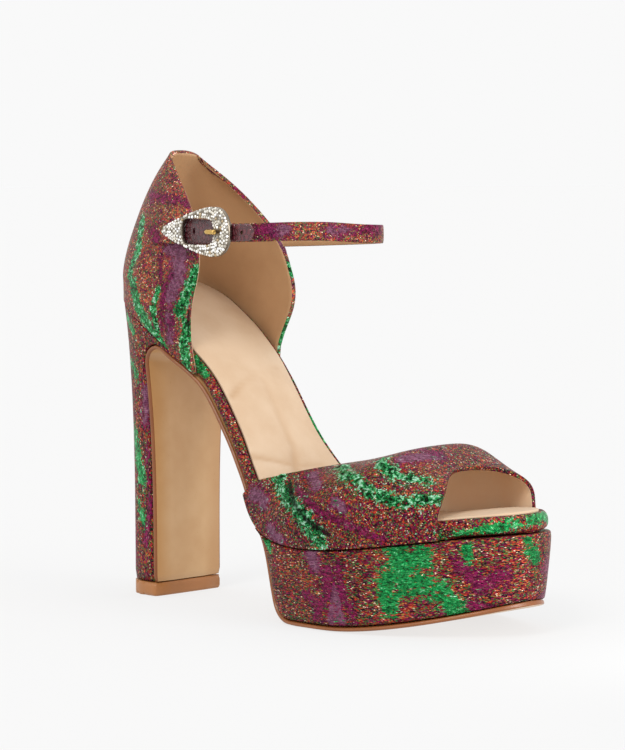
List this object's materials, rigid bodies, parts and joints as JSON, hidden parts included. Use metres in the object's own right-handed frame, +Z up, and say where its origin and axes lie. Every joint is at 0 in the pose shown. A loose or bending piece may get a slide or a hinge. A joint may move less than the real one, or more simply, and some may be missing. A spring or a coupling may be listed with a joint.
{
  "type": "block heel platform sandal",
  "caption": "High block heel sandal with a thick platform, a peep-toe vamp, a closed back and a buckled ankle strap.",
  "frame": {"origin": "the middle of the heel's top piece, on the floor", "axes": "+X towards the toe, +Y to the inner (medial) side of this right shoe, +Z up"},
  "size_m": [0.212, 0.0832, 0.1813],
  "materials": {
    "upper_brocade": "woven jacquard with metallic threads, crinkled raised figures and a fine sparkle",
    "platform_brocade": "the same jacquard stretched round the platform, its ribs running along it",
    "heel_brocade": "the same jacquard glued round the heel block",
    "rim_brocade": "the same jacquard wrapped round the insole board's rim",
    "sole_leather": "smooth tan leather, satin, with a painted edge",
    "sock_leather": "soft cream leather over thin padding, satin",
    "strap_leather": "dark burgundy embossed leather with punched holes",
    "top_piece_rubber": "matte tan-brown heel rubber",
    "jewelled_metal": "pale metal frame set all over with small clear stones",
    "gold_metal": "polished gold colour"
  },
  "bodies": {
    "root": {"top_piece": "top_piece_rubber", "heel_block": "heel_brocade", "outsole": "sole_leather", "platform": "platform_brocade", "insole_board": "rim_brocade", "sock": "sock_leather", "vamp": "upper_brocade", "quarters_and_strap": "upper_brocade", "buckle_tab": "upper_brocade", "billet": "strap_leather", "buckle_frame": "jewelled_metal", "buckle_prong": "gold_metal"}
  },
  "joints": []
}
